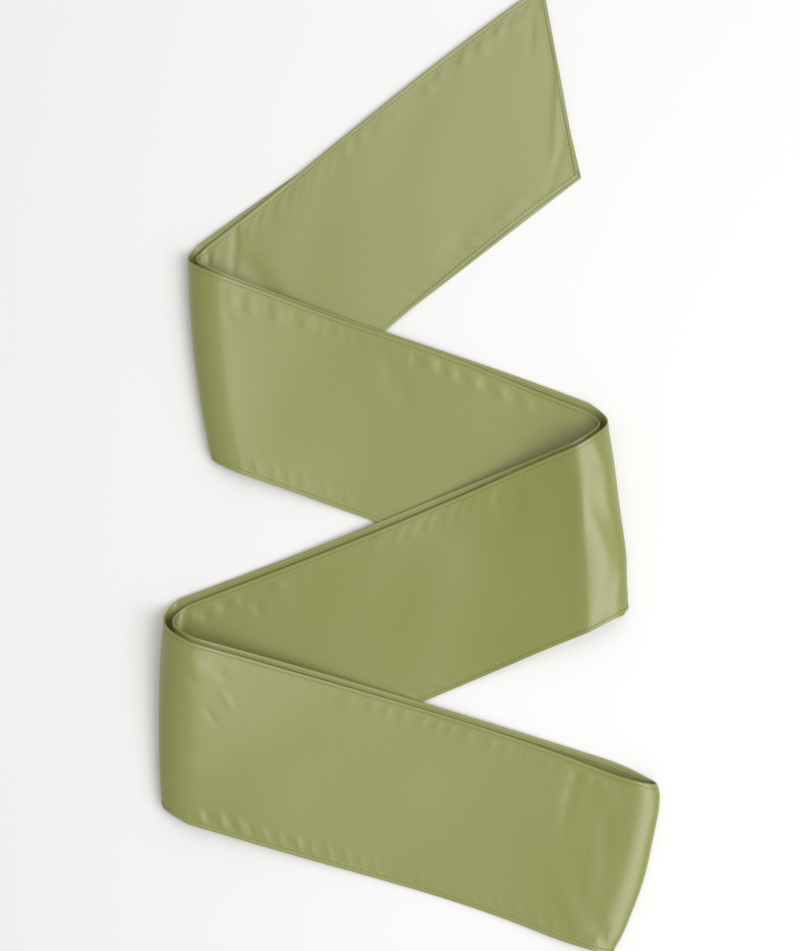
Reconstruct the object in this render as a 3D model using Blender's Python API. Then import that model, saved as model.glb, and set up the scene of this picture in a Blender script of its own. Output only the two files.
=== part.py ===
"""A long narrow satin sash, folded in half and laid flat in four zigzag stretches.

The sash is one strip. Folded in half it makes two plies, a and b, which run together from the two cut
ends through three turned folds to the half fold. Each stretch between two folds is one solid per ply.
"""

import math
from collections import namedtuple

import bpy
import numpy as np

# Sizes are in millimetres and angles in degrees, counterclockwise from +x. Plan places are measured from
# a point near the middle of the laid sash, with +y to its far side. The last step centres the whole.
MM = 0.001

# Cloth
SASH_WIDTH = 100.0
WALL = 1.0
PLY_GAP = 0.3
SEAM_GAP = 0.4

# Drape
NOSE_SHARE = 0.42
FALL_START = 1.5
FALL_LENGTH = 40.0

# Mesh
CELLS_ACROSS = 10
CELLS_LOOP = 20
CELLS_FLAT = 14
LOOP_CROWDING = 1.5
PROFILE_STEPS = 48

# The two cut ends: the middle of each, its heading, and the direction of the cut from far to near.
End = namedtuple("End", "x y heading cut")
ENDS = {
    "a": End(89.6, 221.3, 217.2, -76.5),
    "b": End(89.8, 222.5, 214.8, -80.0),
}

# The middle line of each ply at each fold, as if the fold were pressed flat. Spread is how much wider the
# pull of the fold draws the cloth, and slide shifts the nose of the loop towards the near side.
Turn = namedtuple("Turn", "x y heading_in heading_out spread slide")
TURNS = {
    "a": (
        Turn(-119.0, 66.6, 214.9, -20.6, 0.3, 1.2),
        Turn(121.4, -25.3, -22.8, 202.4, 0.2, -1.6),
        Turn(-151.4, -134.2, 200.7, -17.7, 1.1, 0.0),
        Turn(139.6, -230.6, -21.3, 162.2, 0.0, -4.3),
    ),
    "b": (
        Turn(-108.7, 64.0, 219.3, -19.7, -0.3, -1.6),
        Turn(134.0, -19.9, -19.3, 204.8, -1.2, 1.2),
        Turn(-140.2, -134.9, 201.0, -17.0, 0.7, 0.0),
        Turn(143.6, -223.0, -17.8, 158.7, 0.2, 4.3),
    ),
}

# The open loop at each end of a fold: the nose of the outer ply in plan, the height of its crest, how far
# back from the nose the crest and the foot lie, and how high the lower half still stands at that foot.
# Inset and drop are how far the inner ply lies inside and below the outer one. Zone is the cloth a loop
# takes on each side, fall the way from its crest down, and bow the nose's curve.
LoopEnd = namedtuple("LoopEnd", "x y height crest foot toe inset drop")
Loop = namedtuple("Loop", "inner zone fall bow far near")
LOOPS = (
    Loop(
        inner="b", zone=70.0, fall=84.0, bow=3.0,
        far=LoopEnd(-119.4, 124.9, 16.0, 15.0, 7.0, 2.0, 4.6, 3.4),
        near=LoopEnd(-106.3, 10.0, 12.0, 14.0, 6.0, 1.0, 2.0, 2.2),
    ),
    Loop(
        inner="a", zone=72.0, fall=88.0, bow=1.4,
        far=LoopEnd(116.8, 28.9, 22.0, 19.0, 9.0, 2.5, 4.8, 4.0),
        near=LoopEnd(129.2, -77.0, 16.0, 23.0, 7.0, 1.5, 2.0, 2.4),
    ),
    Loop(
        inner="b", zone=76.0, fall=150.0, bow=2.5,
        far=LoopEnd(-133.2, -79.2, 25.0, 16.0, 8.0, 2.5, 4.9, 4.0),
        near=LoopEnd(-135.1, -188.0, 12.0, 15.0, 6.0, 1.0, 2.0, 2.2),
    ),
    Loop(
        inner=None, zone=46.0, fall=100.0, bow=4.5,
        far=LoopEnd(146.6, -180.8, 9.5, 12.0, 5.0, 1.0, 0.0, 0.0),
        near=LoopEnd(119.9, -277.0, 8.5, 12.0, 5.0, 1.0, 0.0, 0.0),
    ),
)

# The way in which the lower half of a loop comes down from its foot to rest, and the share of a fall in
# which it sets off. Then how much sooner the inner ply falls, and the share of its inset by which its crest
# lies nearer to its nose, so that the two plies stay clear of each other all the way round.
SETTLE_LENGTH = 60.0
TAIL_START = 0.045
INNER_FALL = 6.0
INNER_CREST_SHARE = 0.8

# How high each ply of a stretch lies, in layers from the table: over the stretch before it, and past it.
Layers = namedtuple("Layers", "over past")
LAYERS = {
    "a": (Layers(1, 1), Layers(4, 2), Layers(3, 1), Layers(4, 2)),
    "b": (Layers(2, 2), Layers(3, 1), Layers(4, 2), Layers(3, 1)),
}

SATIN_COLOUR = (0.36, 0.38, 0.16, 1.0)
SATIN_ROUGHNESS = 0.42


def direction(degrees):
    angle = math.radians(degrees)
    return np.array([math.cos(angle), math.sin(angle)])


def mix(first, second, share):
    return (1 - share) * first + share * second


def smooth(share):
    share = np.clip(share, 0.0, 1.0)
    return share * share * (3 - 2 * share)


def tail(share):
    """The way a lifted ply comes down to rest: soon at first, then in a long slow end."""
    share = np.clip(share, 0.0, 1.0)
    return 1 - (1 - share) ** 2 - 2 * share * np.exp(-share / TAIL_START)


def layer_height(layer):
    return WALL / 2 + (layer - 1) * (WALL + PLY_GAP)


class Fold:
    """One ply at one fold: its crease as if pressed flat, and the open loop that really turns there."""

    def __init__(self, ply, number):
        turn = TURNS[ply][number]
        self.loop = LOOPS[number]
        self.slide = turn.slide
        self.way_in = direction(turn.heading_in)
        self.way_out = direction(turn.heading_out)
        along = direction((turn.heading_in + turn.heading_out) / 2)
        self.along = along if along[1] < 0 else -along
        side = np.array([-self.along[1], self.along[0]])
        self.outward = side if side @ self.way_in > 0 else -side
        half = (SASH_WIDTH + turn.spread) / 2 / (self.way_in @ self.outward)
        middle = np.array([turn.x, turn.y])
        self.far = middle - half * self.along
        self.near = middle + half * self.along
        self.inner = ply == self.loop.inner
        self.set_back_far = self.set_back(self.far, self.loop.far)
        self.set_back_near = self.set_back(self.near, self.loop.near)
        self.low = layer_height(1 if number == 3 else LAYERS[ply][number].past)

    def set_back(self, crease_end, loop_end):
        """How far inside the pressed crease the nose of the loop lies."""
        nose = np.array([loop_end.x, loop_end.y])
        return (crease_end - nose) @ self.outward + (loop_end.inset if self.inner else 0)

    def size(self, name, across):
        return mix(getattr(self.loop.far, name), getattr(self.loop.near, name), across)

    def shape(self, across, upper):
        """Sizes of the loop: how far in its nose is, its crest, its quarter's depth, and its start and fall."""
        bow = 4 * across * (1 - across) * self.loop.bow
        set_back = mix(self.set_back_far, self.set_back_near, across) - bow
        crest = self.size("height", across)
        depth = self.size("crest" if upper else "foot", across)
        fall = self.loop.fall if upper else SETTLE_LENGTH
        if self.inner:
            crest -= self.size("drop", across)
            depth -= INNER_CREST_SHARE * self.size("inset", across) if upper else 0
            fall -= INNER_FALL
        start = crest if upper else self.low + self.size("toe", across)
        return set_back, crest, depth, start, fall

    def profile(self, across, upper):
        """Half the loop's section, from the nose inwards to the end of the zone.

        Returns the distance inwards of the crease, the height, the share of rest, and the cloth used up
        along the crease's normal.
        """
        set_back, crest, depth, rest, fall = self.shape(across, upper)
        nose = mix(self.low, crest, NOSE_SHARE)
        turned = np.linspace(0, math.pi / 2, PROFILE_STEPS)
        flat = np.linspace(0, self.loop.zone - set_back - depth, PROFILE_STEPS)[1:]
        inward = set_back + np.append(depth * (1 - np.cos(turned)), depth + flat)
        height = np.append(mix(nose, rest, np.sin(turned)), np.full(len(flat), rest))
        share = np.append(np.zeros(PROFILE_STEPS), tail(flat / fall))
        settled = mix(height, self.low, share)
        length = np.append(0, np.cumsum(np.hypot(np.diff(inward), np.diff(settled))))
        round_share = length[:PROFILE_STEPS] / length[PROFILE_STEPS - 1]
        used = np.append(round_share * (set_back + depth), inward[PROFILE_STEPS:])
        return inward, height, share, used, length

    def point(self, across, part, upper, leaving, rest_height):
        """A point of the loop, part of the way along the cloth from its nose to the end of its zone."""
        inward, height, share, used, length = self.profile(across, upper)
        at = part * length[-1]
        way = self.way_out if leaving else -self.way_in
        slant = (way @ self.along) / -(way @ self.outward)
        shift = np.interp(at, length, used) * slant + self.slide * (1 - part) ** 2
        crease = mix(self.far, self.near, across)
        plan = crease + shift * self.along - np.interp(at, length, inward) * self.outward
        settled = np.interp(at, length, share)
        top = mix(np.interp(at, length, height), rest_height(plan), settled)
        return np.array([plan[0], plan[1], top])

    def edge(self, across, leaving):
        """Where an edge of the cloth leaves the loop's zone, and its heading there."""
        way = self.way_out if leaving else -self.way_in
        crease = mix(self.far, self.near, across)
        return crease + way * self.loop.zone / -(way @ self.outward), way

    def lift(self, across, upper, plan, rest):
        """How far the loop still holds the cloth above its rest, beyond the loop's zone."""
        set_back, _, depth, start, fall = self.shape(across, upper)
        away = (self.far - plan) @ self.outward - set_back - depth
        return (start - rest) * (1 - tail(away / fall))


def rest_height_of(ply, number):
    """The height of a ply at a place in plan, where it lies over the stretch before it or on the table."""
    layers = LAYERS[ply][number]
    past = layer_height(layers.past)
    over = layer_height(layers.over)
    edges = [near_edge(Fold(below, number - 1)) for below in TURNS] if number else []

    def height(plan):
        if not edges:
            return past
        beyond = min((plan - point) @ near_side for point, near_side in edges)
        return mix(over, past, smooth((beyond - FALL_START) / FALL_LENGTH))

    return height


def near_edge(fold):
    """The near edge of the cloth that comes into a fold: a point of it, and the way out past it."""
    near_side = np.array([fold.way_in[1], -fold.way_in[0]])
    return fold.near, near_side if near_side[1] < 0 else -near_side


def curve(start, end, start_way, end_way, share):
    """A point of a smooth line from start to end that leaves and arrives with these headings."""
    length = np.linalg.norm(end - start)
    leave = share * (1 - share) ** 2
    arrive = share * share * (1 - share)
    return mix(start, end, smooth(share)) + length * (leave * start_way - arrive * end_way)


def stretch_sections(ply, number):
    """The sections of a stretch of one ply, each a row of points from its far edge to its near edge."""
    shares = np.linspace(0, 1, CELLS_ACROSS + 1)
    height = rest_height_of(ply, number)
    arrives = Fold(ply, number)
    seam = SEAM_GAP / 2 / arrives.loop.zone
    parts = seam + (1 - seam) * np.linspace(0, 1, CELLS_LOOP + 1) ** LOOP_CROWDING
    rows = []
    if number:
        leaves = Fold(ply, number - 1)
        rows += [[leaves.point(w, part, True, True, height) for w in shares] for part in parts[:-1]]
        starts = [leaves.edge(w, True) for w in (0, 1)]
    else:
        end = ENDS[ply]
        way = direction(end.heading)
        cut = direction(end.cut)
        half = cut * SASH_WIDTH / 2 / abs(way[0] * cut[1] - way[1] * cut[0])
        middle = np.array([end.x, end.y])
        starts = [(middle - half, way), (middle + half, way)]
    stops = [arrives.edge(w, False) for w in (0, 1)]
    upper = number == 3 and ply == "a"
    for share in np.linspace(0, 1, CELLS_FLAT + 1):
        sides = [
            curve(start, stop, start_way, -stop_way, share)
            for (start, start_way), (stop, stop_way) in zip(starts, stops)
        ]
        row = []
        for w in shares:
            plan = mix(sides[0], sides[1], w)
            rest = height(plan)
            top = rest + arrives.lift(w, upper, plan, rest)
            if number:
                top += leaves.lift(w, True, plan, rest)
            row.append(np.append(plan, top))
        rows.append(row)
    for part in parts[-2::-1]:
        rows.append([arrives.point(w, part, upper, False, height) for w in shares])
    return np.array(rows)


def thicken(rows):
    """The top and bottom faces of a wall on these sections."""
    lengthwise = np.gradient(rows, axis=0)
    crosswise = np.gradient(rows, axis=1)
    normal = np.cross(lengthwise, crosswise)
    normal /= np.linalg.norm(normal, axis=2, keepdims=True)
    return rows + normal * WALL / 2, rows - normal * WALL / 2


def wall_faces(long, wide):
    """The faces of a closed wall with this many points along and across it."""
    top = np.arange(long * wide).reshape(long, wide)
    bottom = top + long * wide
    faces = []
    for i in range(long - 1):
        for j in range(wide - 1):
            faces.append((top[i, j], top[i + 1, j], top[i + 1, j + 1], top[i, j + 1]))
            faces.append((bottom[i, j], bottom[i, j + 1], bottom[i + 1, j + 1], bottom[i + 1, j]))
    rim = list(zip(top[0], bottom[0]))
    rim += list(zip(top[1:, -1], bottom[1:, -1]))
    rim += list(zip(top[-1, -2::-1], bottom[-1, -2::-1]))
    rim += list(zip(top[-2:0:-1, 0], bottom[-2:0:-1, 0]))
    for (above, below), (next_above, next_below) in zip(rim, rim[1:] + rim[:1]):
        faces.append((above, next_above, next_below, below))
    return [tuple(int(index) for index in face) for face in faces]


def satin():
    material = bpy.data.materials.new("satin")
    material.use_nodes = True
    shader = material.node_tree.nodes["Principled BSDF"]
    shader.inputs["Base Color"].default_value = SATIN_COLOUR
    shader.inputs["Roughness"].default_value = SATIN_ROUGHNESS
    shader.inputs["Metallic"].default_value = 0.0
    material.diffuse_color = SATIN_COLOUR
    return material


def make_solid(name, rows, shift, collection):
    top, bottom = thicken(rows)
    points = np.concatenate([top.reshape(-1, 3), bottom.reshape(-1, 3)]) + shift
    mesh = bpy.data.meshes.new(name)
    mesh.from_pydata([tuple(point) for point in points * MM], [], wall_faces(*rows.shape[:2]))
    mesh.validate()
    mesh.materials.append(satin())
    solid = bpy.data.objects.new(name, mesh)
    collection.objects.link(solid)
    bpy.context.view_layer.objects.active = solid
    solid.select_set(True)
    bpy.ops.object.mode_set(mode="EDIT")
    bpy.ops.mesh.select_all(action="SELECT")
    bpy.ops.mesh.normals_make_consistent(inside=False)
    bpy.ops.object.mode_set(mode="OBJECT")
    solid.select_set(False)
    mesh.shade_smooth()
    mesh.set_sharp_from_angle(angle=math.radians(40))
    return solid


def main():
    for old in list(bpy.data.objects):
        bpy.data.objects.remove(old)
    collection = bpy.data.collections.new("satin_sash")
    bpy.context.scene.collection.children.link(collection)
    stretches = {
        f"stretch_{number + 1}_ply_{ply}": stretch_sections(ply, number)
        for number in range(4)
        for ply in "ab"
    }
    walls = np.concatenate(
        [face.reshape(-1, 3) for rows in stretches.values() for face in thicken(rows)]
    )
    low = walls.min(axis=0)
    high = walls.max(axis=0)
    shift = -np.array([(low[0] + high[0]) / 2, (low[1] + high[1]) / 2, low[2]])
    for name, rows in stretches.items():
        make_solid(name, rows, shift, collection)


main()
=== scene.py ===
"""A satin sash, folded in half and laid flat in four zigzag lengths on a pale table."""

import math
from collections import namedtuple

import bpy
import numpy as np
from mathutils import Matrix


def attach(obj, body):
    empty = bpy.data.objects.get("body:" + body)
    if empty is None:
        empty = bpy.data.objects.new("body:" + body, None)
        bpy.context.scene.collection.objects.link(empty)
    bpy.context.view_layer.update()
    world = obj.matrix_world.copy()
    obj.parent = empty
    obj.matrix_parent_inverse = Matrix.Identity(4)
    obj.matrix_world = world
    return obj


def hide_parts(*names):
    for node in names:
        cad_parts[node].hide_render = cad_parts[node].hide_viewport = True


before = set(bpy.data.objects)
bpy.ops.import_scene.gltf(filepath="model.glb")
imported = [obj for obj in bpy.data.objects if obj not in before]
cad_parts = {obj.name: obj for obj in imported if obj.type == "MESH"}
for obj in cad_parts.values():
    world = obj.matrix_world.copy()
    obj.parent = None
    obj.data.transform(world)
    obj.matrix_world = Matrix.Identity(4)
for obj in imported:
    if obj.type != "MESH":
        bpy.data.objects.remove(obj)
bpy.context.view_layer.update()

# Table and light
# A plain white table by a tall soft window to the right, with a fainter light from the ceiling. The
# camera looks almost straight down, from a little past the sash's far side.

MM = 0.001
TABLE_SIDE = 6.0
TABLE_COLOUR = (0.93, 0.92, 0.915)
TABLE_ROUGHNESS = 0.6
LAY_CENTRE = (5.771, 1.860)
EYE_DISTANCE = 1200.0
EYE_TILT = 2.3
LENS_PIXELS = 2112.0
PHOTO_HEIGHT = 951.0
SENSOR = 36.0
CLIP_END = 20.0


def plain_material(name, colour, roughness):
    material = bpy.data.materials.new(name)
    material.use_nodes = True
    shader = material.node_tree.nodes["Principled BSDF"]
    shader.inputs["Base Color"].default_value = (*colour, 1.0)
    shader.inputs["Roughness"].default_value = roughness
    return material


bpy.ops.object.select_all(action="DESELECT")
bpy.ops.mesh.primitive_plane_add(size=TABLE_SIDE, location=(0, 0, 0))
table = bpy.context.object
table.name = "table_top"
table.data.materials.append(plain_material("white_table", TABLE_COLOUR, TABLE_ROUGHNESS))

target = (-LAY_CENTRE[0] * MM, -LAY_CENTRE[1] * MM, 0.0)
tilt = math.radians(EYE_TILT)
bpy.ops.object.camera_add(
    location=(
        target[0],
        target[1] + EYE_DISTANCE * MM * math.sin(tilt),
        EYE_DISTANCE * MM * math.cos(tilt),
    ),
    rotation=(-tilt, 0, 0),
)
camera = bpy.context.object
camera.data.sensor_width = SENSOR
camera.data.lens = LENS_PIXELS / PHOTO_HEIGHT * SENSOR
camera.data.clip_end = CLIP_END
bpy.context.scene.camera = camera

SoftLight = namedtuple("SoftLight", "name place size power")
LIGHTS = (
    SoftLight("window", (1.04, -0.7, 1.35), 1.2, 13.5),
    SoftLight("window_top", (0.784, -0.1, 1.589), 1.0, 7.0),
    SoftLight("ceiling_panel", (0.0, 0.845, 1.589), 1.0, 5.0),
)
SKY_COLOUR = (1.0, 0.995, 0.985, 1.0)
SKY_STRENGTH = 0.47

for light in LIGHTS:
    bpy.ops.object.light_add(type="AREA", location=light.place)
    lamp = bpy.context.object
    lamp.name = light.name
    lamp.data.size = light.size
    lamp.data.energy = light.power
    towards = np.array(light.place) - np.array(target)
    lean = math.acos(towards[2] / np.linalg.norm(towards))
    lamp.rotation_euler = (lean, 0, math.atan2(towards[1], towards[0]) + math.pi / 2)

world = bpy.data.worlds.new("studio")
world.use_nodes = True
sky = world.node_tree.nodes["Background"]
sky.inputs["Color"].default_value = SKY_COLOUR
sky.inputs["Strength"].default_value = SKY_STRENGTH
bpy.context.scene.world = world
bpy.context.scene.view_settings.view_transform = "Standard"

# Sash
# One long strip of polyester satin, right side out, with a narrow turned hem on all its edges. Folded in
# half it makes two plies, a and b, which run together from the two cut ends through three folds to the
# half fold. Nothing holds the folds, and each stays open in a rounded loop.

SASH_WIDTH = 100.0
CLOTH = 0.4
PLY_PITCH = 1.3
FIRST_PLY = 0.5
NOSE_SHARE = 0.42
FALL_START = 1.5
FALL_LENGTH = 90.0
SETTLE_LENGTH = 90.0
TAIL_START = 0.045
INNER_FALL = 6.0
INNER_CREST_SHARE = 0.8
CORNER_SHARE = 0.07
PROFILE_STEPS = 160
HALF_FOLD = 3

# The middle of each cut end, the way of the cloth there, and the way of the cut from far to near edge.
End = namedtuple("End", "x y heading cut")
ENDS = {
    "a": End(89.6, 221.3, 217.2, -76.5),
    "b": End(90.6, 222.5, 214.8, -79.2),
}

# Each fold as if pressed flat: its middle, the way of the cloth before and after it, how much wider the
# cloth is there, and how far its nose has slid along the fold.
Turn = namedtuple("Turn", "x y heading_in heading_out spread slide")
TURNS = {
    "a": (
        Turn(-119.0, 66.6, 214.9, -20.6, 0.3, 1.2),
        Turn(121.4, -25.3, -22.8, 202.4, 0.2, -1.6),
        Turn(-151.4, -134.2, 200.7, -17.7, 1.1, 0.0),
        Turn(139.6, -230.6, -21.3, 162.2, 0.0, -4.3),
    ),
    "b": (
        Turn(-108.7, 64.0, 219.3, -19.7, -0.3, -1.6),
        Turn(134.0, -19.9, -19.3, 204.8, -1.2, 1.2),
        Turn(-140.2, -134.9, 201.0, -17.0, 0.7, 0.0),
        Turn(143.6, -223.0, -17.8, 158.7, 0.2, 4.3),
    ),
}

# The open loop of each fold, with the ply that lies inside, the reach of its zone and its fall, the bow
# of its nose and the rounding of its far corner. Its far and near ends have the place of the nose, the
# height, the depth of the upper and lower quarters, the height of the toe, and how far the inner ply
# sits in and under.
LoopEnd = namedtuple("LoopEnd", "x y height crest foot toe inset drop")
Loop = namedtuple("Loop", "inner zone fall bow corner far near")
LOOPS = (
    Loop(
        inner="b", zone=70.0, fall=84.0, bow=3.0, corner=0.0,
        far=LoopEnd(-119.4, 124.9, 18.0, 15.0, 7.0, 1.5, 4.6, 3.4),
        near=LoopEnd(-106.3, 10.0, 12.0, 14.0, 6.0, 1.0, 2.0, 2.2),
    ),
    Loop(
        inner="a", zone=72.0, fall=88.0, bow=1.4, corner=0.0,
        far=LoopEnd(116.8, 28.9, 23.0, 19.0, 9.0, 1.5, 4.8, 4.0),
        near=LoopEnd(129.2, -77.0, 16.0, 23.0, 7.0, 1.5, 2.0, 2.4),
    ),
    Loop(
        inner="b", zone=76.0, fall=150.0, bow=2.5, corner=0.0,
        far=LoopEnd(-133.2, -79.2, 25.0, 16.0, 8.0, 1.5, 4.9, 4.0),
        near=LoopEnd(-135.1, -188.0, 12.0, 15.0, 6.0, 1.0, 2.0, 2.2),
    ),
    Loop(
        inner=None, zone=46.0, fall=100.0, bow=5.5, corner=2.8,
        far=LoopEnd(146.6, -180.8, 9.5, 12.0, 5.0, 1.0, 0.0, 0.0),
        near=LoopEnd(119.9, -277.0, 8.5, 12.0, 5.0, 1.0, 0.0, 0.0),
    ),
)

# The layer that a ply lies in, over the length before it and past that.
Layers = namedtuple("Layers", "over past")
LAYERS = {
    "a": (Layers(1, 1), Layers(4, 2), Layers(3, 1), Layers(4, 2)),
    "b": (Layers(2, 2), Layers(3, 1), Layers(4, 2), Layers(3, 1)),
}


def direction(degrees):
    angle = math.radians(degrees)
    return np.array([math.cos(angle), math.sin(angle)])


def mix(first, second, share):
    return (1 - share) * first + share * second


def smooth(share):
    share = np.clip(share, 0.0, 1.0)
    return share * share * (3 - 2 * share)


def tail(share):
    """How far a lifted ply has come down to rest: level at first, soon steep, with a long slow end."""
    share = np.clip(share, 0.0, 1.0)
    return 1 - (1 - share) ** 2 - 2 * share * np.exp(-share / TAIL_START)


def layer_height(layer):
    return FIRST_PLY + (layer - 1) * PLY_PITCH


class Fold:
    """One ply at one fold: its crease as if pressed flat, and the open loop that really turns there."""

    def __init__(self, ply, number):
        turn = TURNS[ply][number]
        self.loop = LOOPS[number]
        self.slide = turn.slide
        self.way_in = direction(turn.heading_in)
        self.way_out = direction(turn.heading_out)
        along = direction((turn.heading_in + turn.heading_out) / 2)
        self.along = along if along[1] < 0 else -along
        side = np.array([-self.along[1], self.along[0]])
        self.outward = side if side @ self.way_in > 0 else -side
        half = (SASH_WIDTH + turn.spread) / 2 / (self.way_in @ self.outward)
        middle = np.array([turn.x, turn.y])
        self.far = middle - half * self.along
        self.near = middle + half * self.along
        self.inner = ply == self.loop.inner
        self.set_back_far = self.set_back(self.far, self.loop.far)
        self.set_back_near = self.set_back(self.near, self.loop.near)
        self.low = layer_height(1 if number == HALF_FOLD else LAYERS[ply][number].past)

    def set_back(self, crease_end, loop_end):
        nose = np.array([loop_end.x, loop_end.y])
        return (crease_end - nose) @ self.outward + (loop_end.inset if self.inner else 0)

    def size(self, name, across):
        return mix(getattr(self.loop.far, name), getattr(self.loop.near, name), across)

    def shape(self, across, upper):
        """Sizes of the loop: its nose's set-back, its crest, its quarter's depth, its start and its fall."""
        bow = 4 * across * (1 - across) * self.loop.bow
        rounded = self.loop.corner * max(0.0, 1 - across / CORNER_SHARE) ** 2
        set_back = mix(self.set_back_far, self.set_back_near, across) - bow + rounded
        crest = self.size("height", across)
        depth = self.size("crest" if upper else "foot", across)
        fall = self.loop.fall if upper else SETTLE_LENGTH
        if self.inner:
            crest -= self.size("drop", across)
            depth -= INNER_CREST_SHARE * self.size("inset", across) if upper else 0
            fall -= INNER_FALL
        start = crest if upper else self.low + self.size("toe", across)
        return set_back, crest, depth, start, fall

    def profile(self, across, upper):
        """Half the section from the nose: distance in, height, share of rest, cloth used and length."""
        set_back, crest, depth, rest, fall = self.shape(across, upper)
        nose = mix(self.low, crest, NOSE_SHARE)
        turned = np.linspace(0, math.pi / 2, PROFILE_STEPS)
        flat = np.linspace(0, self.loop.zone - set_back - depth, PROFILE_STEPS)[1:]
        inward = set_back + np.append(depth * (1 - np.cos(turned)), depth + flat)
        height = np.append(mix(nose, rest, np.sin(turned)), np.full(len(flat), rest))
        share = np.append(np.zeros(PROFILE_STEPS), tail(flat / fall))
        settled = mix(height, self.low, share)
        length = np.append(0, np.cumsum(np.hypot(np.diff(inward), np.diff(settled))))
        round_share = length[:PROFILE_STEPS] / length[PROFILE_STEPS - 1]
        used = np.append(round_share * (set_back + depth), inward[PROFILE_STEPS:])
        return inward, height, share, used, length

    def line(self, across, parts, upper, leaving, rest_height):
        """Points of the loop at these parts of the cloth's way from its nose to the end of its zone."""
        inward, height, share, used, length = self.profile(across, upper)
        at = parts * length[-1]
        way = self.way_out if leaving else -self.way_in
        slant = (way @ self.along) / -(way @ self.outward)
        shift = np.interp(at, length, used) * slant + self.slide * (1 - parts) ** 2
        crease = mix(self.far, self.near, across)
        away = np.interp(at, length, inward)
        plan = crease + shift[:, None] * self.along - away[:, None] * self.outward
        settled = np.interp(at, length, share)
        top = mix(np.interp(at, length, height), rest_height(plan), settled)
        return np.column_stack([plan, top])

    def edge(self, across, leaving):
        """Where an edge of the cloth leaves the loop's zone, and its heading there."""
        way = self.way_out if leaving else -self.way_in
        crease = mix(self.far, self.near, across)
        return crease + way * self.loop.zone / -(way @ self.outward), way

    def lift(self, across, upper, plan, rest):
        """How far the loop still holds the cloth above its rest, beyond the loop's zone."""
        set_back, _, depth, start, fall = self.shape(across, upper)
        away = (self.far - plan) @ self.outward - set_back - depth
        return (start - rest) * (1 - tail(away / fall))


def near_edge(fold):
    """The near edge of the cloth that comes into a fold: a point of it, and the way out past it."""
    near_side = np.array([fold.way_in[1], -fold.way_in[0]])
    return fold.near, near_side if near_side[1] < 0 else -near_side


def rest_height_of(ply, number):
    """The height at places in plan of a ply that lies over the length before it or on the table."""
    layers = LAYERS[ply][number]
    past = layer_height(layers.past)
    over = layer_height(layers.over)
    edges = [near_edge(Fold(below, number - 1)) for below in TURNS] if number else []

    def height(plan):
        if not edges:
            return np.full(len(plan), past)
        beyond = np.min([(plan - point) @ near_side for point, near_side in edges], axis=0)
        return mix(over, past, smooth((beyond - FALL_START) / FALL_LENGTH))

    return height


def curve(start, end, start_way, end_way, shares):
    """Points of a smooth line from start to end that leaves and arrives with these headings."""
    length = np.linalg.norm(end - start)
    leave = (shares * (1 - shares) ** 2)[:, None]
    arrive = (shares * shares * (1 - shares))[:, None]
    straight = mix(start, end, smooth(shares)[:, None])
    return straight + length * (leave * start_way - arrive * end_way)


ROW = 1.4
EDGE_STEPS = (0.0, 0.05, 0.18, 0.4, 0.8, 1.3, 1.8, 2.1, 2.3, 2.5, 2.8, 3.0, 3.15, 3.4, 3.9, 4.7, 5.8)
BODY_CELLS = 50
HEM = 3.0
STITCH_LINE = 2.3


def column_places():
    """How far each lengthwise line of the mesh lies from the far edge of the strip, in millimetres."""
    edge = np.array(EDGE_STEPS)
    body = np.linspace(edge[-1], SASH_WIDTH - edge[-1], BODY_CELLS + 1)[1:-1]
    return np.concatenate([edge, body, SASH_WIDTH - edge[::-1]])


def squareness(way, cut):
    """How near a cut is to square across the cloth: 1 where it is square."""
    return abs(way[0] * cut[1] - way[1] * cut[0])


def stretch_rows(ply, number, columns):
    """One ply from its cut end or a fold to the next fold: rows of points, far edge first."""
    height = rest_height_of(ply, number)
    arrives = Fold(ply, number)
    loop_parts = np.linspace(0, 1, round(arrives.loop.zone / ROW) + 1)
    upper = number == HALF_FOLD and ply == "a"
    stops = [arrives.edge(across, False) for across in (0, 1)]
    if number:
        leaves = Fold(ply, number - 1)
        leave_parts = np.linspace(0, 1, round(leaves.loop.zone / ROW) + 1)
        starts = [leaves.edge(across, True) for across in (0, 1)]
    else:
        end = ENDS[ply]
        way = direction(end.heading)
        cut = direction(end.cut)
        half = cut * SASH_WIDTH / 2 / squareness(way, cut)
        middle = np.array([end.x, end.y])
        starts = [(middle - half, way), (middle + half, way)]
    gap = np.linalg.norm((stops[0][0] + stops[1][0] - starts[0][0] - starts[1][0]) / 2)
    shares = np.linspace(0, 1, round(gap / ROW) + 1)
    if not number:
        steps = np.array(EDGE_STEPS) / squareness(way, cut) / gap
        evenly = np.linspace(steps[-1], 1, round((1 - steps[-1]) * gap / ROW) + 1)
        shares = np.concatenate([steps, evenly[1:]])
    far, near = [
        curve(start, stop, start_way, -stop_way, shares)
        for (start, start_way), (stop, stop_way) in zip(starts, stops)
    ]
    lines = []
    for across in columns / SASH_WIDTH:
        plan = mix(far, near, across)
        rest = height(plan)
        top = rest + arrives.lift(across, upper, plan, rest)
        if number:
            top += leaves.lift(across, True, plan, rest)
        parts = [np.column_stack([plan, top])]
        if number:
            parts.insert(0, leaves.line(across, leave_parts[:-1], True, True, height))
        parts.append(arrives.line(across, loop_parts[-2::-1], upper, False, height))
        lines.append(np.concatenate(parts))
    return np.stack(lines, axis=1)


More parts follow.
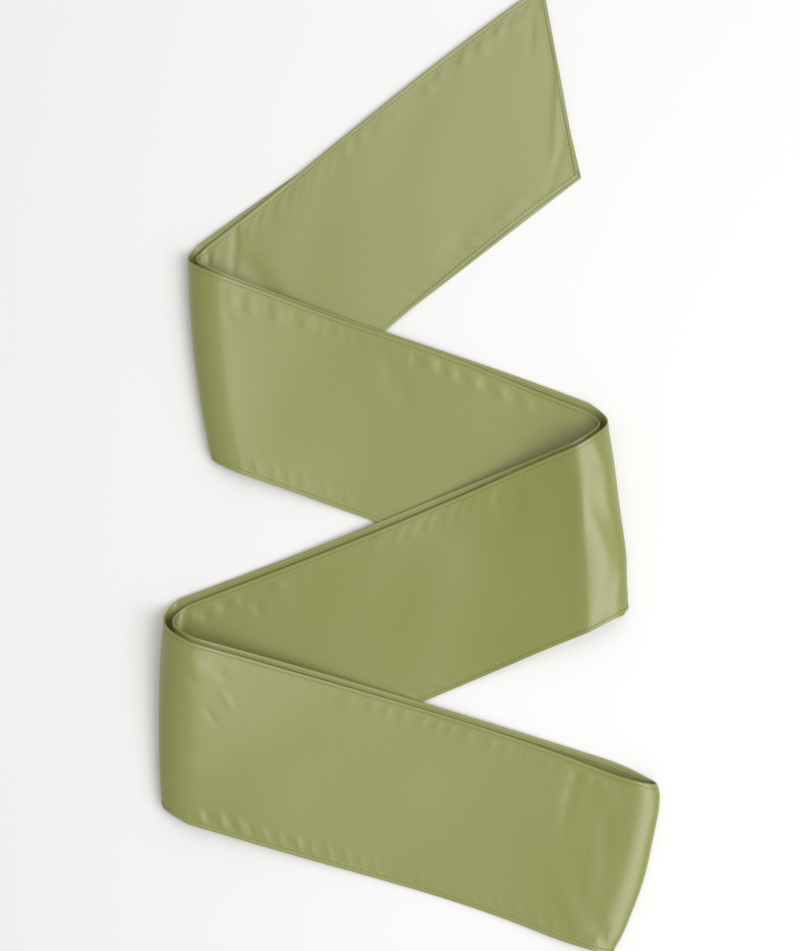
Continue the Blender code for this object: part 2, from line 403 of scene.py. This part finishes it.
def strip_rows(columns):
    """The strip from the cut end of ply a, through the half fold, to that of ply b, and its folds' rows."""
    plies = {}
    noses = {}
    for ply in TURNS:
        stretches = []
        noses[ply] = []
        for number in range(len(LOOPS)):
            stretch = stretch_rows(ply, number, columns)
            stretches.append(stretch if not number else stretch[1:])
            noses[ply].append(sum(len(rows) for rows in stretches) - 1)
        plies[ply] = np.concatenate(stretches)
    ply_a = plies["a"]
    ply_b = plies["b"][::-1]
    ply_a[-1] = (ply_a[-1] + ply_b[0]) / 2
    last = len(ply_a) - 1 + len(ply_b) - 1
    marks = noses["a"] + [last - nose for nose in noses["b"][-2::-1]]
    return np.concatenate([ply_a, ply_b[1:]]), marks


columns = column_places()
strip, folds = strip_rows(columns)
steps = np.linalg.norm(np.diff(strip, axis=0), axis=2)
travelled = np.concatenate([np.zeros((1, len(columns))), np.cumsum(steps, axis=0)])

# The cut end of ply a is aslant, so at its near edge the cloth starts further along its own length.
start_way = direction(ENDS["a"].heading)
start_cut = direction(ENDS["a"].cut)
slant = SASH_WIDTH * (start_cut @ start_way) / squareness(start_way, start_cut)
along = travelled + slant * (columns / SASH_WIDTH - 0.5)


def unit(vectors):
    return vectors / np.linalg.norm(vectors, axis=-1, keepdims=True)


def face_normals(rows):
    """The way the right side of the cloth faces at each point."""
    return unit(np.cross(np.gradient(rows, axis=1), np.gradient(rows, axis=0)))


# Distance of each point from the nearest edge of the strip.
end_a = travelled * abs(np.sin(math.radians(ENDS["a"].cut - ENDS["a"].heading)))
end_b = (travelled[-1] - travelled) * abs(np.sin(math.radians(ENDS["b"].cut - ENDS["b"].heading)))
side = np.minimum(columns, SASH_WIDTH - columns)
to_edge = np.minimum(np.minimum(end_a, end_b), side)

# The hem is thicker than the rest. It ends in a step on the wrong side, and fades out on the right side.
HEM_THICK = 0.9
HEM_STEP = 0.35
FADE_START = 1.2
FADE_LENGTH = 3.0
ROLL = 0.45
GROOVE = 0.17
GROOVE_WIDTH = 0.45


def half_thickness(distance, wrong):
    """Half the thickness of the cloth at a distance from its edge, on its right or wrong side."""
    hem = HEM_THICK / 2
    body = CLOTH / 2
    past_step = smooth((distance - HEM) / HEM_STEP)
    faded = smooth((distance - FADE_START) / FADE_LENGTH)
    half = mix(hem, body, past_step if wrong else faded)
    half -= GROOVE * np.exp(-(((distance - STITCH_LINE) / GROOVE_WIDTH) ** 2))
    rounding = np.sqrt(np.clip(1 - (1 - np.clip(distance / ROLL, 0, 1)) ** 2, 0.0, 1))
    return half * rounding


# Troughs and ridges pressed into the cloth. Along is measured from the ply's own cut end, inward from the
# far edge, and turn in degrees from the way of the cloth. Each is a soft form that many millimetres long,
# wide and high, or deep where the height is below nought.
Crease = namedtuple("Crease", "ply along inward length width turn height")
CREASES = (
    # Gathers inside the far hem of the first length
    Crease("b", 20, 9, 4.0, 3.0, 0, 0.45),
    Crease("b", 31, 6, 4.2, 2.8, 4, 0.52),
    Crease("b", 43, 9, 4.0, 3.2, -5, 0.52),
    Crease("b", 56, 7, 4.4, 2.8, 0, 0.52),
    Crease("b", 73, 7, 3.4, 2.8, 3, 0.45),
    Crease("b", 82, 9, 4.0, 3.0, 0, 0.45),
    Crease("b", 130, 6, 3.4, 2.8, 0, 0.30),
    Crease("b", 141, 6, 3.6, 2.6, 0, 0.30),
    # A dart and small pleats where the first length goes into its fold
    Crease("b", 223, 11, 10.0, 2.4, 68, -0.83),
    Crease("b", 240, 6, 3.4, 1.7, 80, -0.45),
    Crease("b", 246, 5, 3.4, 1.7, 76, -0.45),
    Crease("b", 211, 34, 22.0, 6.0, 119, -0.75),
    # The pull of the end hem
    Crease("b", 13, 20, 6.8, 2.4, 69, -0.52),
    Crease("b", 6, 62, 26.0, 2.8, 72, 0.52),
    Crease("b", 13, 88, 11.0, 2.8, 50, -0.45),
    Crease("b", 83, 89, 12.5, 7.0, 0, -0.52),
    Crease("b", 45, 92, 11.0, 5.0, 0, 0.45),
    # The second length: pressed gathers inside its far hem, in two groups
    Crease("a", 285, 9, 3.6, 4.5, 0, 0.50),
    Crease("a", 296, 10, 4.5, 4.8, 20, 0.60),
    Crease("a", 299, 8, 2.4, 2.2, 39, -0.38),
    Crease("a", 307, 8, 2.4, 2.2, 39, -0.38),
    Crease("a", 312, 9, 4.5, 4.2, -15, 0.60),
    Crease("a", 330, 8, 6.0, 3.6, 0, 0.50),
    Crease("a", 284, 20, 5.0, 1.7, 39, -0.30),
    Crease("a", 394, 9, 2.8, 4.0, 91, -0.45),
    Crease("a", 404, 7, 3.4, 4.0, 91, 0.52),
    Crease("a", 410, 7, 2.6, 3.4, 90, -0.45),
    Crease("a", 416, 8, 2.8, 4.0, 90, 0.52),
    Crease("a", 422, 9, 2.6, 4.0, 89, -0.45),
    Crease("a", 429, 8, 3.4, 4.0, 88, 0.52),
    Crease("a", 438, 8, 2.8, 4.0, 87, -0.45),
    Crease("a", 446, 8, 3.4, 4.0, 87, 0.52),
    Crease("a", 454, 9, 2.8, 4.0, 87, -0.38),
    Crease("a", 462, 9, 3.0, 4.0, 87, 0.45),
    Crease("a", 384, 23, 13.5, 7.0, 61, -0.52),
    Crease("a", 294, 93, 9.0, 2.4, 0, 0.45),
    # The third length: its crest is uneven along the fold
    Crease("b", 522, 22, 15.0, 6.0, 74, 1.10),
    Crease("b", 531, 47, 16.0, 5.0, 102, -0.80),
    Crease("b", 519, 70, 14.0, 6.0, 84, 1.00),
    Crease("b", 533, 88, 12.0, 5.0, 66, -0.80),
    Crease("b", 543, 33, 20.0, 6.0, 70, 0.70),
    Crease("b", 583, 12, 11.5, 8.0, 76, -0.90),
    Crease("b", 525, 9, 5.7, 4.0, 85, 0.60),
    Crease("b", 633, 39, 34.0, 19.0, 77, 0.75),
    Crease("b", 723, 9, 4.0, 2.4, 0, 0.45),
    Crease("b", 738, 16, 3.4, 2.8, 99, -0.45),
    Crease("b", 749, 8, 2.8, 2.4, 0, 0.45),
    Crease("b", 756, 8, 2.4, 2.4, 99, -0.38),
    Crease("b", 762, 8, 2.8, 2.4, 0, 0.45),
    Crease("b", 768, 9, 2.4, 2.4, 99, -0.38),
    Crease("b", 775, 7, 2.8, 2.4, 0, 0.45),
    # The fourth length: fine wrinkles by its fold, gathers on its near hem, the pull of the half fold
    Crease("a", 824, 12, 5.7, 3.4, 2, 0.60),
    Crease("a", 826, 20, 5.0, 1.7, 24, -0.30),
    Crease("a", 841, 13, 5.0, 1.7, 14, -0.30),
    Crease("a", 849, 26, 5.7, 1.7, 34, 0.30),
    Crease("a", 843, 37, 5.7, 1.7, 34, -0.30),
    Crease("a", 830, 67, 12.5, 3.4, -11, 0.45),
    Crease("a", 836, 93, 2.8, 2.6, 83, 0.32),
    Crease("a", 842, 93, 2.4, 2.4, 83, -0.27),
    Crease("a", 850, 92, 2.8, 2.6, 83, 0.32),
    Crease("a", 856, 93, 2.4, 2.4, 83, -0.27),
    Crease("a", 862, 92, 3.0, 2.6, 83, 0.32),
    Crease("a", 868, 93, 2.4, 2.4, 83, -0.27),
    Crease("a", 875, 93, 3.4, 2.6, 84, 0.32),
    Crease("a", 894, 92, 4.5, 2.6, 0, 0.32),
    Crease("a", 1049, 8, 2.6, 2.6, 79, -0.45),
    Crease("a", 1056, 8, 2.8, 2.8, 79, 0.45),
    Crease("a", 1065, 8, 3.0, 3.0, 80, 0.45),
    Crease("a", 1052, 22, 15.0, 3.4, 84, -0.52),
    Crease("a", 1072, 14, 7.0, 6.0, 30, 0.60),
    Crease("a", 1078, 34, 12.0, 5.0, 84, -0.60),
    Crease("a", 1074, 58, 17.0, 5.0, 98, 0.50),
    Crease("a", 1062, 82, 15.0, 7.0, 66, 0.70),
    Crease("a", 1078, 90, 9.0, 5.0, 84, -0.45),
)
# The other ply has creases like these, this far further along it and with this share of their height.
TWIN_SHIFT = 23.0
TWIN_SHARE = 0.6

# Gathers along both hems: their height, how far in they lie, how wide they are, and how they repeat.
GATHER = 0.26
GATHER_INWARD = 7.0
GATHER_WIDTH = 3.6
GATHER_TURN = 0.6
GATHER_SHARPNESS = 1.5
Drift = namedtuple("Drift", "size turn seeds")
GATHER_DRIFTS = (Drift(1.3, 0.071, 1), Drift(0.9, 0.173, 2))
STRENGTH_TURN = 0.031
STRENGTH_SEEDS = 3
LEAST_STRENGTH = 0.3
STRENGTH_RANGE = 0.7

# Slight waves over the whole cloth: millimetres a radian along and across it, and where each starts.
Wave = namedtuple("Wave", "along across start")
WAVES = (Wave(9.7, 14.0, 0.0), Wave(16.3, -21.0, 1.7), Wave(27.0, 11.0, 0.6))
WAVE_HEIGHT = 0.1

# Pressed forms stay within these limits. They fade out at the edge, and rise only where the cloth faces up.
DEEPEST = 0.6
HIGHEST = 1.1
EDGE_FADE = 2.5
FACING_BAND = 0.2


def crease_height(crease, run, across):
    """The height that one crease gives at each point."""
    angle = math.radians(crease.turn)
    ahead = run - crease.along
    inward = across - crease.inward
    lengthways = ahead * math.cos(angle) + inward * math.sin(angle)
    crossways = inward * math.cos(angle) - ahead * math.sin(angle)
    distance = (lengthways / crease.length) ** 2 + (crossways / crease.width) ** 2
    return crease.height * np.exp(-distance)


def gathers(run, seed):
    """Uneven gathers that the stitching draws along a hem, about 10 mm apart."""
    phase = GATHER_TURN * run
    for drift in GATHER_DRIFTS:
        phase = phase + drift.size * np.sin(drift.turn * run + drift.seeds * seed)
    swell = smooth((1 + np.sin(STRENGTH_TURN * run + STRENGTH_SEEDS * seed)) / 2)
    strength = LEAST_STRENGTH + STRENGTH_RANGE * swell
    return strength * np.clip(np.sin(phase), 0, 1) ** GATHER_SHARPNESS


def unevenness(run, across):
    """The slight waves of cloth that has been folded and handled."""
    waves = [np.sin(run / wave.along + across / wave.across + wave.start) for wave in WAVES]
    return WAVE_HEIGHT * sum(waves)


run_a = travelled
run_b = travelled[-1] - travelled
across = np.broadcast_to(columns, travelled.shape)
pressed = unevenness(travelled, across)
HEM_SEEDS = ((1.0, columns), (4.0, SASH_WIDTH - columns))
for seed, inward in HEM_SEEDS:
    band = np.exp(-(((inward - GATHER_INWARD) / GATHER_WIDTH) ** 2))
    pressed += GATHER * gathers(travelled, seed) * band
for crease in CREASES:
    own, other = (run_a, run_b) if crease.ply == "a" else (run_b, run_a)
    twin = crease._replace(along=crease.along + TWIN_SHIFT, height=crease.height * TWIN_SHARE)
    pressed += crease_height(crease, own, across) + crease_height(twin, other, across)
normals = face_normals(strip)
facing_up = smooth((normals[..., 2] + FACING_BAND) / (2 * FACING_BAND))
pressed = np.clip(pressed, -DEEPEST, mix(0.0, HIGHEST, facing_up))
pressed *= smooth(to_edge / EDGE_FADE)
strip = strip + normals * pressed[..., None]
normals = face_normals(strip)
right = strip + normals * half_thickness(to_edge, False)[..., None]
wrong = strip - normals * half_thickness(to_edge, True)[..., None]

SATIN_COLOUR = (0.276, 0.3, 0.075)
SATIN_SHADE = (0.23, 0.252, 0.056)
BACK_COLOUR = (0.25, 0.265, 0.08)
BACK_SHADE = (0.215, 0.23, 0.066)
MOTTLE_SCALE = (420.0, 640.0)
MOTTLE_DETAIL = 3.0
WEAVE_SCALE = (700.0, 3600.0)
WEAVE_DETAIL = 2.0
WEAVE_STRENGTH = 0.35
SATIN_INDEX = 1.5
SHEEN_PULL = 0.7
SHEEN_TURN = 0.25


def woven(name, colour, shade, roughness, sheen_spread, thread_depth, shine):
    """Satin weave along the cloth's own length: fine threads, and a slightly mottled tone."""
    material = bpy.data.materials.new(name)
    material.use_nodes = True
    nodes = material.node_tree.nodes
    links = material.node_tree.links
    shader = nodes["Principled BSDF"]
    cloth = nodes.new("ShaderNodeUVMap")
    cloth.uv_map = "cloth"

    def noise(scale, detail):
        stretch = nodes.new("ShaderNodeMapping")
        stretch.inputs["Scale"].default_value = (*scale, 1.0)
        texture = nodes.new("ShaderNodeTexNoise")
        texture.inputs["Scale"].default_value = 1.0
        texture.inputs["Detail"].default_value = detail
        links.new(cloth.outputs["UV"], stretch.inputs["Vector"])
        links.new(stretch.outputs["Vector"], texture.inputs["Vector"])
        return texture.outputs["Fac"]

    mottle = noise(MOTTLE_SCALE, MOTTLE_DETAIL)
    threads = noise(WEAVE_SCALE, WEAVE_DETAIL)
    tone = nodes.new("ShaderNodeMix")
    tone.data_type = "RGBA"
    tone.inputs[6].default_value = (*shade, 1.0)
    tone.inputs[7].default_value = (*colour, 1.0)
    links.new(mottle, tone.inputs[0])
    links.new(tone.outputs[2], shader.inputs["Base Color"])
    gloss = nodes.new("ShaderNodeMapRange")
    gloss.inputs["To Min"].default_value = roughness - sheen_spread
    gloss.inputs["To Max"].default_value = roughness + sheen_spread
    links.new(mottle, gloss.inputs["Value"])
    links.new(gloss.outputs["Result"], shader.inputs["Roughness"])
    relief = nodes.new("ShaderNodeBump")
    relief.inputs["Strength"].default_value = WEAVE_STRENGTH
    relief.inputs["Distance"].default_value = thread_depth * MM
    links.new(threads, relief.inputs["Height"])
    links.new(relief.outputs["Normal"], shader.inputs["Normal"])
    shader.inputs["IOR"].default_value = SATIN_INDEX
    shader.inputs["Specular IOR Level"].default_value = shine
    shader.inputs["Anisotropic"].default_value = SHEEN_PULL
    shader.inputs["Anisotropic Rotation"].default_value = SHEEN_TURN
    way = nodes.new("ShaderNodeTangent")
    way.direction_type = "UV_MAP"
    way.uv_map = "cloth"
    links.new(way.outputs["Tangent"], shader.inputs["Tangent"])
    return material


satin = woven(
    "satin_face", SATIN_COLOUR, SATIN_SHADE, roughness=0.42, sheen_spread=0.05, thread_depth=0.12, shine=1.0
)
satin_back = woven(
    "satin_back", BACK_COLOUR, BACK_SHADE, roughness=0.62, sheen_spread=0.04, thread_depth=0.16, shine=0.4
)

SHARP_ANGLE = 60.0
centre = np.array([*LAY_CENTRE, 0.0])


def add_piece(name, points, faces, materials):
    """A piece of the sash, from points in millimetres, with these materials, that rides on its body."""
    mesh = bpy.data.meshes.new(name)
    mesh.from_pydata((points - centre) * MM, [], faces)
    for material in materials:
        mesh.materials.append(material)
    piece = bpy.data.objects.new(name, mesh)
    bpy.context.scene.collection.objects.link(piece)
    mesh.shade_smooth()
    mesh.set_sharp_from_angle(angle=math.radians(SHARP_ANGLE))
    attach(piece, "root")
    return piece


def shell(name, first, last):
    """A closed thin shell of the strip's rows from first to last."""
    rows = slice(first, last + 1)
    top, under = right[rows], wrong[rows]
    long, wide = top.shape[:2]
    points = np.concatenate([top.reshape(-1, 3), under.reshape(-1, 3)])
    upper_index = np.arange(long * wide).reshape(long, wide)
    under_index = upper_index + long * wide
    corners = [upper_index[:-1, :-1], upper_index[:-1, 1:], upper_index[1:, 1:], upper_index[1:, :-1]]
    faces = [np.stack(corners, axis=-1).reshape(-1, 4)]
    corners = [under_index[:-1, :-1], under_index[1:, :-1], under_index[1:, 1:], under_index[:-1, 1:]]
    faces.append(np.stack(corners, axis=-1).reshape(-1, 4))
    rim = np.concatenate([
        upper_index[0, :], upper_index[1:, -1], upper_index[-1, -2::-1], upper_index[-2:0:-1, 0],
    ])
    ahead = np.roll(rim, -1)
    below = long * wide
    faces.append(np.stack([rim, rim + below, ahead + below, ahead], axis=-1))
    piece = add_piece(name, points, np.concatenate(faces), [satin, satin_back])
    mesh = piece.data
    uv = mesh.uv_layers.new(name="cloth")
    run = np.concatenate([along[rows].reshape(-1)] * 2) * MM
    width = np.concatenate([across[rows].reshape(-1)] * 2) * MM
    loops = np.empty(len(mesh.loops), np.int32)
    mesh.loops.foreach_get("vertex_index", loops)
    uv.data.foreach_set("uv", np.column_stack([run[loops], width[loops]]).ravel())
    hidden_side = np.zeros(len(mesh.polygons), np.int32)
    inner = (to_edge[rows][:-1, :-1] >= HEM) & (to_edge[rows][1:, 1:] >= HEM)
    hidden_side[inner.size : 2 * inner.size] = inner.reshape(-1)
    mesh.polygons.foreach_set("material_index", hidden_side)
    return piece


# Stitches
# One line of fine polyester sewing thread holds the hem down on every edge of the sash. Each stitch is a
# short length of thread that dips into the cloth at both ends, and it shows on both sides.

# The thread really has the cloth's own colour. It is painted much darker here, as painted shade for the
# small hollows where the stitches sink into the cloth. The loose thread end uses this colour too.
THREAD_PAINTED_SHADE_COLOUR = (0.13, 0.142, 0.034)
THREAD_ROUGHNESS = 0.55
THREAD_RADIUS = 0.14
THREAD_SIDES = 5
STITCH_PITCH = 2.4
STITCH_LENGTH = 1.8
HALF_MILLIMETRE = 0.5

# Rings of one stitch: the share of its length, and the width and rise in radii of the thread.
Ring = namedtuple("Ring", "share width rise")
STITCH_RINGS = (
    Ring(-0.5, 0.35, -0.9),
    Ring(-0.26, 1.0, 0.25),
    Ring(0.26, 1.0, 0.25),
    Ring(0.5, 0.35, -0.9),
)

thread = plain_material("sewing_thread_painted_shade", THREAD_PAINTED_SHADE_COLOUR, THREAD_ROUGHNESS)


def stitch_points(line, facing, room):
    """Rings of points for each stitch along a seam. Room is how much of each end isn't sewn."""
    run = np.append(0, np.cumsum(np.linalg.norm(np.diff(line, axis=0), axis=1)))
    places = np.arange(room[0] + STITCH_PITCH / 2, run[-1] - room[1], STITCH_PITCH)

    def at(values, where):
        return np.stack([np.interp(where, run, values[:, axis]) for axis in range(3)], axis=1)

    middle = at(line, places)
    way = unit(at(line, places + HALF_MILLIMETRE) - at(line, places - HALF_MILLIMETRE))
    up = unit(at(facing, places))
    side = np.cross(way, up)
    rings = []
    for ring in STITCH_RINGS:
        ring_middle = middle + way * ring.share * STITCH_LENGTH + up * ring.rise * THREAD_RADIUS
        for angle in np.arange(THREAD_SIDES) * 2 * math.pi / THREAD_SIDES:
            reach = math.cos(angle) * side + math.sin(angle) * up
            rings.append(ring_middle + reach * ring.width * THREAD_RADIUS)
    return np.stack(rings, axis=1)


def tube_faces(rings):
    """Faces of a closed tube of thread with this many rings of points."""
    ring = np.arange(THREAD_SIDES)
    ahead = np.roll(ring, -1)
    faces = []
    for step in range(rings - 1):
        here = step * THREAD_SIDES
        there = here + THREAD_SIDES
        faces += np.stack([ring + here, ring + there, ahead + there, ahead + here], axis=1).tolist()
    last = (rings - 1) * THREAD_SIDES
    return faces + [ring.tolist(), (ring[::-1] + last).tolist()]


def stitch_faces(count):
    """Faces of this many stitches, each a tube of its own."""
    one_stitch = tube_faces(len(STITCH_RINGS))
    size = len(STITCH_RINGS) * THREAD_SIDES
    return [[index + number * size for index in face] for number in range(count) for face in one_stitch]


def sew(name, first, last):
    """All the stitches of one piece, along both hems and across a cut end where it has one."""
    rows = slice(first, last + 1)
    seam = EDGE_STEPS.index(STITCH_LINE)
    has_end_a = first == 0
    has_end_b = last == len(strip) - 1
    room = (STITCH_LINE if has_end_a else 0.0, STITCH_LINE if has_end_b else 0.0)
    end_room = (STITCH_LINE, STITCH_LINE)
    found = []
    for surface, facing in ((right, normals), (wrong, -normals)):
        for column in (seam, -seam - 1):
            found.append(stitch_points(surface[rows, column], facing[rows, column], room))
        if has_end_a:
            found.append(stitch_points(surface[seam], facing[seam], end_room))
        if has_end_b:
            found.append(stitch_points(surface[-seam - 1], facing[-seam - 1], end_room))
    points = np.concatenate(found)
    return add_piece(name, points.reshape(-1, 3), stitch_faces(len(points)), [thread])


# The strip is shown in four pieces that meet halfway between folds. The real one has no seam there.
halfway = [(folds[before] + folds[before + 1]) // 2 for before in (1, 3, 5)]
CUTS = (0, *halfway, len(strip) - 1)
for name, first, last, stands_for in (
    ("sash_end_a", CUTS[0], CUTS[1], ("stretch_1_ply_a", "stretch_2_ply_a", "stretch_3_ply_a")),
    ("sash_half_a", CUTS[1], CUTS[2], ("stretch_3_ply_a", "stretch_4_ply_a", "stretch_4_ply_b")),
    ("sash_half_b", CUTS[2], CUTS[3], ("stretch_4_ply_b", "stretch_3_ply_b", "stretch_2_ply_b")),
    ("sash_end_b", CUTS[3], CUTS[4], ("stretch_2_ply_b", "stretch_1_ply_b")),
):
    piece = shell(name, first, last)
    stitches = sew(name + "_stitches", first, last)
    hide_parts(*stands_for)

# Loose thread end
# The same sewing thread, left long where the hem's stitching ends at the near corner of the upper cut
# end. It is held by the last stitch only, and lies in a short curl over the cloth.

LOOSE_START = (1.2, 0.2, 0.0)
LOOSE_BENDS = ((0.0, 0.0, 0.1), (0.9, 0.7, 0.5), (1.2, 1.9, 0.8), (0.5, 3.0, 0.7), (-0.6, 3.4, 0.4))
LOOSE_RINGS = 13


def loose_thread(name):
    """A thin tube of thread along the curl's bends, which are rounded a little."""
    start = right[-1, -1] - np.array(LOOSE_START)
    bends = start + np.array(LOOSE_BENDS)
    bend_places = np.arange(len(bends))
    places = np.linspace(0, bend_places[-1], LOOSE_RINGS)
    line = np.stack([np.interp(places, bend_places, bends[:, axis]) for axis in range(3)], axis=1)
    line[1:-1] = (line[:-2] + line[1:-1] * 2 + line[2:]) / 4
    way = unit(np.gradient(line, axis=0))
    side = unit(np.cross(way, [0.0, 0.0, 1.0]))
    up = np.cross(side, way)
    turns = np.arange(THREAD_SIDES) * 2 * math.pi / THREAD_SIDES
    rings = [line + THREAD_RADIUS * (math.cos(turn) * side + math.sin(turn) * up) for turn in turns]
    points = np.stack(rings, axis=1).reshape(-1, 3)
    return add_piece(name, points, tube_faces(len(line)), [thread])


loose_thread("loose_thread_end")
